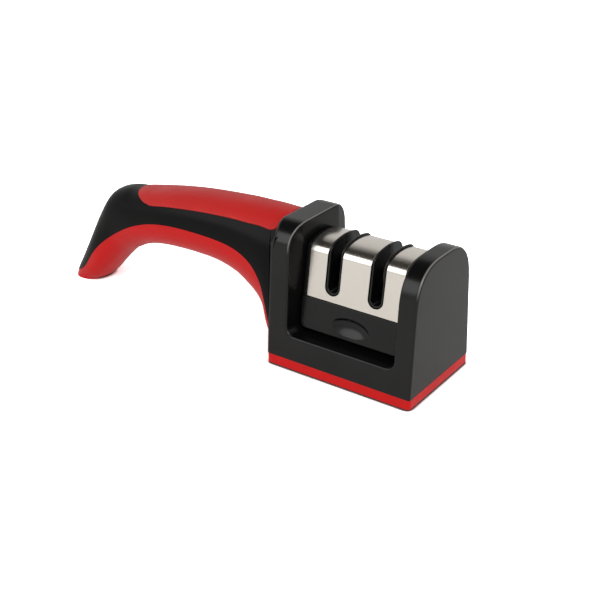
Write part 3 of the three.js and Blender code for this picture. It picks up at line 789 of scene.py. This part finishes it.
cartridge = {
    'x': 1.55, 'length': 49, 'sole': 17.9, 'corner': 2.5, 'halfDepth': 17.2, 'lean': 9.2,
    'tenon': (41, 25, 7.8), 'gap': 0.3,
    # the dimple is cut by a long ball, tilted so that its floor looks up
    # its middle lies this far above a point of the panel and in front of it
    'dimple': 23.2, 'dimpleRadii': (10.8, 3, 6.2), 'dimpleTilt': 27, 'dimpleMiddle': (-1.73, 2.2),
    'coverLength': 44.6, 'coverFoot': 31.9, 'crown': 55.9, 'arch': 28, 'sheet': 0.8, 'bend': 5.2,
    'cheek': 0.25, 'slots': 20.55, 'slotWide': 7.25, 'slotFoot': 34.5, 'lipWall': 0.9, 'lipStand': 0.8,
    'coreEdge': 0.3, 'tenonEdge': 0.6, 'coverEdge': 0.12,
}


def coreHalf(z, inset=0):
    c = cartridge
    lean = math.radians(c['lean'])
    return c['halfDepth'] - (z - housing['sill']) * math.tan(lean) - inset / math.cos(lean)


def archLine(foot, inset, radius):
    # section from the front foot over both bends and the arch to the rear foot, as depth and height
    c = cartridge
    lean = math.radians(c['lean'])
    bend = c['bend'] - inset
    out, up = Vector((math.cos(lean), math.sin(lean))), Vector((-math.sin(lean), math.cos(lean)))
    roll = Vector((0, c['crown'] - c['arch']))
    # the bend's middle lies as deep under the leaning side as under the arch
    turn = Vector((coreHalf(foot, inset), foot)) - bend * out - roll
    rise = turn.dot(up)
    turn += up * (math.sqrt(rise ** 2 - turn.length_squared + (radius - bend) ** 2) - rise)
    end = math.atan2(turn.y, turn.x)
    line = [Vector((coreHalf(foot, inset), foot))]
    for centre, size, first, last, steps in ((roll + turn, bend, lean, end, 14),
                                             (roll, radius, end, math.pi / 2, 20)):
        for i in range(steps):
            angle = first + (last - first) * i / steps
            line.append(centre + size * Vector((math.cos(angle), math.sin(angle))))
    front = [Vector((-point.x, point.y)) for point in line]
    return front + [roll + Vector((0, radius))] + line[::-1]


def archBlock(name, x0, x1, foot, inset, radius):
    # an edge along x, drawn round the section and closed
    c = cartridge
    startFresh()
    bpy.ops.mesh.primitive_plane_add(size=1, location=((c['x'] + (x0 + x1) / 2) * mm, 0, 0))
    piece = bpy.context.active_object
    piece.name = piece.data.name = name
    piece.scale.x = (x1 - x0) * mm
    bpy.ops.object.transform_apply(location=True, rotation=True, scale=True)
    editPiece(piece)
    pick('VERT', lambda vert: vert.co.y > 0)
    bpy.ops.mesh.delete(type='VERT')
    bpy.ops.mesh.select_all(action='SELECT')
    spot = Vector((0, -0.5, 0))
    for i, point in enumerate(archLine(foot, inset, radius)):
        if i:
            bpy.ops.mesh.extrude_edges_move()
        place = Vector((0, point.x, point.y)) * mm
        bpy.ops.transform.translate(value=place - spot)
        spot = place
    pick('EDGE', lambda edge: edge.is_boundary and along(edge, 0))
    bpy.ops.mesh.edge_face_add()
    for x in (x0, x1):
        pick('EDGE', lambda edge: edge.is_boundary and near(middle(edge).x, (c['x'] + x) * mm))
        bpy.ops.mesh.edge_face_add()
    bpy.ops.mesh.select_all(action='SELECT')
    bpy.ops.mesh.normals_make_consistent(inside=False)
    bpy.ops.object.mode_set(mode='OBJECT')
    return piece


def slotCutter(x, radius):
    c = cartridge
    centre = c['slotFoot'] + c['slotWide'] / 2
    cutter = block('slot', (c['x'] + x - radius, -beyond, centre - radius), (c['x'] + x + radius, beyond, 80))
    editPiece(cutter)
    pick('EDGE', lambda edge: along(edge, 1) and near(middle(edge).z, (centre - radius) * mm))
    bpy.ops.mesh.bevel(offset=radius * 0.999 * mm, segments=14)
    bpy.ops.object.mode_set(mode='OBJECT')
    return cutter


def makeCore():
    c = cartridge
    half = c['length'] / 2
    under = c['sheet'] + c['gap']
    coverEnd = c['coverLength'] / 2 + c['gap']
    core = archBlock('core', -half, half, c['sole'], under, c['arch'] - under)
    for x0, x1 in ((-half, -coverEnd), (coverEnd, half)):
        combine(core, archBlock('cheek', x0, x1, c['sole'], c['cheek'], c['arch'] - c['cheek']), 'UNION')
    # lower panel flush with the steel
    panel = block('panel', (c['x'] - half, -1, c['sole']), (c['x'] + half, 1, c['coverFoot'] - c['gap']))
    editPiece(panel)
    pick('FACE', lambda face: face.normal.z < -0.9)
    bpy.ops.transform.resize(value=(1, coreHalf(c['sole']), 1))
    pick('FACE', lambda face: face.normal.z > 0.9)
    bpy.ops.transform.resize(value=(1, coreHalf(c['coverFoot'] - c['gap']), 1))
    bpy.ops.object.mode_set(mode='OBJECT')
    combine(core, panel, 'UNION')
    # round lower corners
    corner = block('corner', (c['x'] - half - 1, -beyond, c['sole'] - 20), (c['x'] + half + 1, beyond, 70))
    keep = block('keep', (c['x'] - half, -beyond - 10, c['sole']), (c['x'] + half, beyond + 10, 90))
    editPiece(keep)
    pick('EDGE', lambda edge: along(edge, 1) and near(middle(edge).z, c['sole'] * mm))
    bpy.ops.mesh.bevel(offset=c['corner'] * mm, segments=10)
    bpy.ops.object.mode_set(mode='OBJECT')
    combine(corner, keep, 'DIFFERENCE')
    combine(core, corner, 'DIFFERENCE')

    slotHalf = c['slotWide'] / 2
    lipRadius = slotHalf - c['gap']
    for x in (-c['slots'] / 2, c['slots'] / 2):
        lip = archBlock('lip', x - slotHalf, x + slotHalf,
                        c['coverFoot'], c['gap'], c['arch'] + c['lipStand'])
        combine(lip, slotCutter(x, lipRadius), 'INTERSECT')
        combine(core, lip, 'UNION')
        combine(core, slotCutter(x, lipRadius - c['lipWall']), 'DIFFERENCE')

    # thumb dimples, front and rear
    lean = math.radians(c['lean'])
    above, out = c['dimpleMiddle']
    depth = coreHalf(c['dimple']) + out * math.cos(lean) - above * math.sin(lean)
    height = c['dimple'] + out * math.sin(lean) + above * math.cos(lean)
    for side in (-1, 1):
        startFresh()
        bpy.ops.mesh.primitive_uv_sphere_add(
            segments=64, ring_count=32, radius=mm, scale=c['dimpleRadii'],
            rotation=(side * (lean + math.radians(c['dimpleTilt'])), 0, 0),
            location=(c['x'] * mm, side * depth * mm, height * mm))
        dimple = bpy.context.active_object
        bpy.ops.object.transform_apply(location=True, rotation=True, scale=True)
        combine(core, dimple, 'DIFFERENCE')
    soften(core, c['coreEdge'], 3, 38)

    long, deep, foot = c['tenon']
    tenon = block('tenon', (c['x'] - long / 2, -deep / 2, foot),
                  (c['x'] + long / 2, deep / 2, c['sole'] + c['corner']))
    soften(tenon, c['tenonEdge'], 3, 40)
    combine(core, tenon, 'UNION')
    return core


def halve(core, name, side):
    piece = copyOf(core, name)
    editPiece(piece)
    bpy.ops.mesh.select_all(action='SELECT')
    bpy.ops.mesh.bisect(plane_co=(0, side * cartridge['gap'] / 2 * mm, 0), plane_no=(0, -side, 0),
                        use_fill=True, clear_outer=True)
    bpy.ops.object.mode_set(mode='OBJECT')
    smoothShade(piece)
    return piece


core = makeCore()
frontHalf = halve(core, 'frontHalf', -1)
rearHalf = halve(core, 'rearHalf', 1)
bpy.data.objects.remove(core)
settle(frontHalf, finishes['black'], 'cartridge', 'black_plastic', 'cartridge_front_half')
settle(rearHalf, finishes['black'], 'cartridge', 'black_plastic', 'cartridge_rear_half')


def makeCover():
    c = cartridge
    half = c['coverLength'] / 2
    cover = archBlock('steelCover', -half, half, c['coverFoot'], 0, c['arch'])
    inner = archBlock('inner', -half - 2, half + 2, c['coverFoot'] - 2, c['sheet'], c['arch'] - c['sheet'])
    combine(cover, inner, 'DIFFERENCE')
    for x in (-c['slots'] / 2, c['slots'] / 2):
        combine(cover, slotCutter(x, c['slotWide'] / 2), 'DIFFERENCE')
    soften(cover, c['coverEdge'], 2, 40)
    smoothShade(cover)
    return cover


steelCover = makeCover()
settle(steelCover, finishes['steel'], 'cartridge', 'cover_steel', 'steel_cover')

# Small pieces keep their CAD form

for name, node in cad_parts.items():
    for kind in ('screw', 'carbide', 'ceramic'):
        if kind in name:
            node.data.materials.clear()
            node.data.materials.append(finishes[kind])
print('small pieces finished')

# Floor and light

studio = {
    'floor': 3.0, 'paper': (0.9, 0.9, 0.89, 1), 'fleck': (0.87, 0.87, 0.86, 1),
    # camera lift of the paper, then the painted contact shadow near the object: darkest tone, reach, ramp,
    # and its lift under the hook
    'paperSeen': 2.3, 'paintedShadowTone': 0.05, 'paintedShadowReach': 0.0024, 'paintedShadowRamp': (0.52, 0.95),
    'hookShadowLift': 0.4, 'hookFrom': (-0.09, -0.06),
    # a dark flag hangs over the left, the rest of the room is white
    'room': (0.78, 0.776, 0.77, 1), 'flag': (0.02, 0.017, 0.014, 1),
    'flagFoot': (0.64, 0.74), 'flagSide': (0.1, 0.35),
    'aim': (-0.03, 0, 0.03),
    # place, size and power of each lamp
    'lamps': [
        ('key', (0.6, -0.55, 0.85), 0.5, 4.6),
        ('softbox', (-0.58, -0.8, 0.52), 0.72, 3.0),
        ('edge', (0.95, -0.27, 0.58), 0.2, 1.4),
    ],
}


def makeFloor():
    s = studio
    startFresh()
    bpy.ops.mesh.primitive_plane_add(size=s['floor'])
    floor = bpy.context.active_object
    floor.name = 'floor'
    paper = Finish('paper', Roughness=0.9, Specular_IOR_Level=0.1)
    fleck = paper.noise(6, 3)
    paper.feed('Base Color', paper.blend(fleck * 0.5, s['paper'], s['fleck']))
    # seen by the camera the paper is exposed to white, and keeps its shadow; near the object an AO node
    # paints a contact shadow into its colour
    bright = s['paperSeen']
    seen = paper.node('ShaderNodeLightPath', 'Is Camera Ray')
    clear = paper.node('ShaderNodeAmbientOcclusion', 'AO', {'samples': 16}, Distance=s['paintedShadowReach'])
    # the painted contact shadow is fainter under the hook, which only just touches the paper
    x = paper.node('ShaderNodeSeparateXYZ', 'X', Vector=paper.place())
    clear = (1 - paper.ramp(x, *s['hookFrom'])) * s['hookShadowLift'] + clear
    tone = paper.ramp(clear, *s['paintedShadowRamp']) * (bright - s['paintedShadowTone']) + s['paintedShadowTone']
    grey = paper.node('ShaderNodeCombineColor', Red=tone, Green=tone, Blue=tone)
    lifted = paper.node('ShaderNodeBsdfDiffuse', Color=grey)
    plain = Wire(paper.tree, paper.shader.outputs[0])
    mixed = paper.node('ShaderNodeMixShader', _0=seen, _1=plain, _2=lifted)
    paper.tree.links.new(mixed.socket, paper.output.inputs['Surface'])
    floor.data.materials.append(paper.material)


def makeRoom():
    s = studio
    world = bpy.data.worlds.new('room')
    bpy.context.scene.world = world
    world.use_nodes = True
    board = Board(world.node_tree)
    way = board.node('ShaderNodeTexCoord', 'Generated')
    left = board.node('ShaderNodeSeparateXYZ', 'X', Vector=way) * -1
    high = board.node('ShaderNodeSeparateXYZ', 'Z', Vector=way)

    def fade(value, edges):
        return board.node('ShaderNodeMapRange', settings={'interpolation_type': 'SMOOTHSTEP'},
                          Value=value, From_Min=edges[0], From_Max=edges[1])

    dark = fade(high, s['flagFoot']) * fade(left, s['flagSide'])
    colour = board.node('ShaderNodeMix', 2, {'data_type': 'RGBA'}, _0=dark, _6=s['room'], _7=s['flag'])
    light = board.node('ShaderNodeBackground', Color=colour)
    white = board.node('ShaderNodeBackground', Color=(1, 1, 1, 1))
    seen = board.node('ShaderNodeLightPath', 'Is Camera Ray')
    both = board.node('ShaderNodeMixShader', _0=seen, _1=light, _2=white)
    board.node('ShaderNodeOutputWorld', None, Surface=both)


def makeLamps():
    aim = Vector(studio['aim'])
    for name, place, size, power in studio['lamps']:
        startFresh()
        bpy.ops.object.light_add(type='AREA', location=place)
        lamp = bpy.context.active_object
        lamp.name = name
        lamp.data.shape = 'DISK'
        lamp.data.size = size
        lamp.data.energy = power
        lamp.rotation_euler = (aim - Vector(place)).to_track_quat('-Z', 'Y').to_euler()


makeFloor()
makeRoom()
makeLamps()
bpy.context.scene.view_settings.view_transform = 'Standard'
startFresh()
print('studio set')
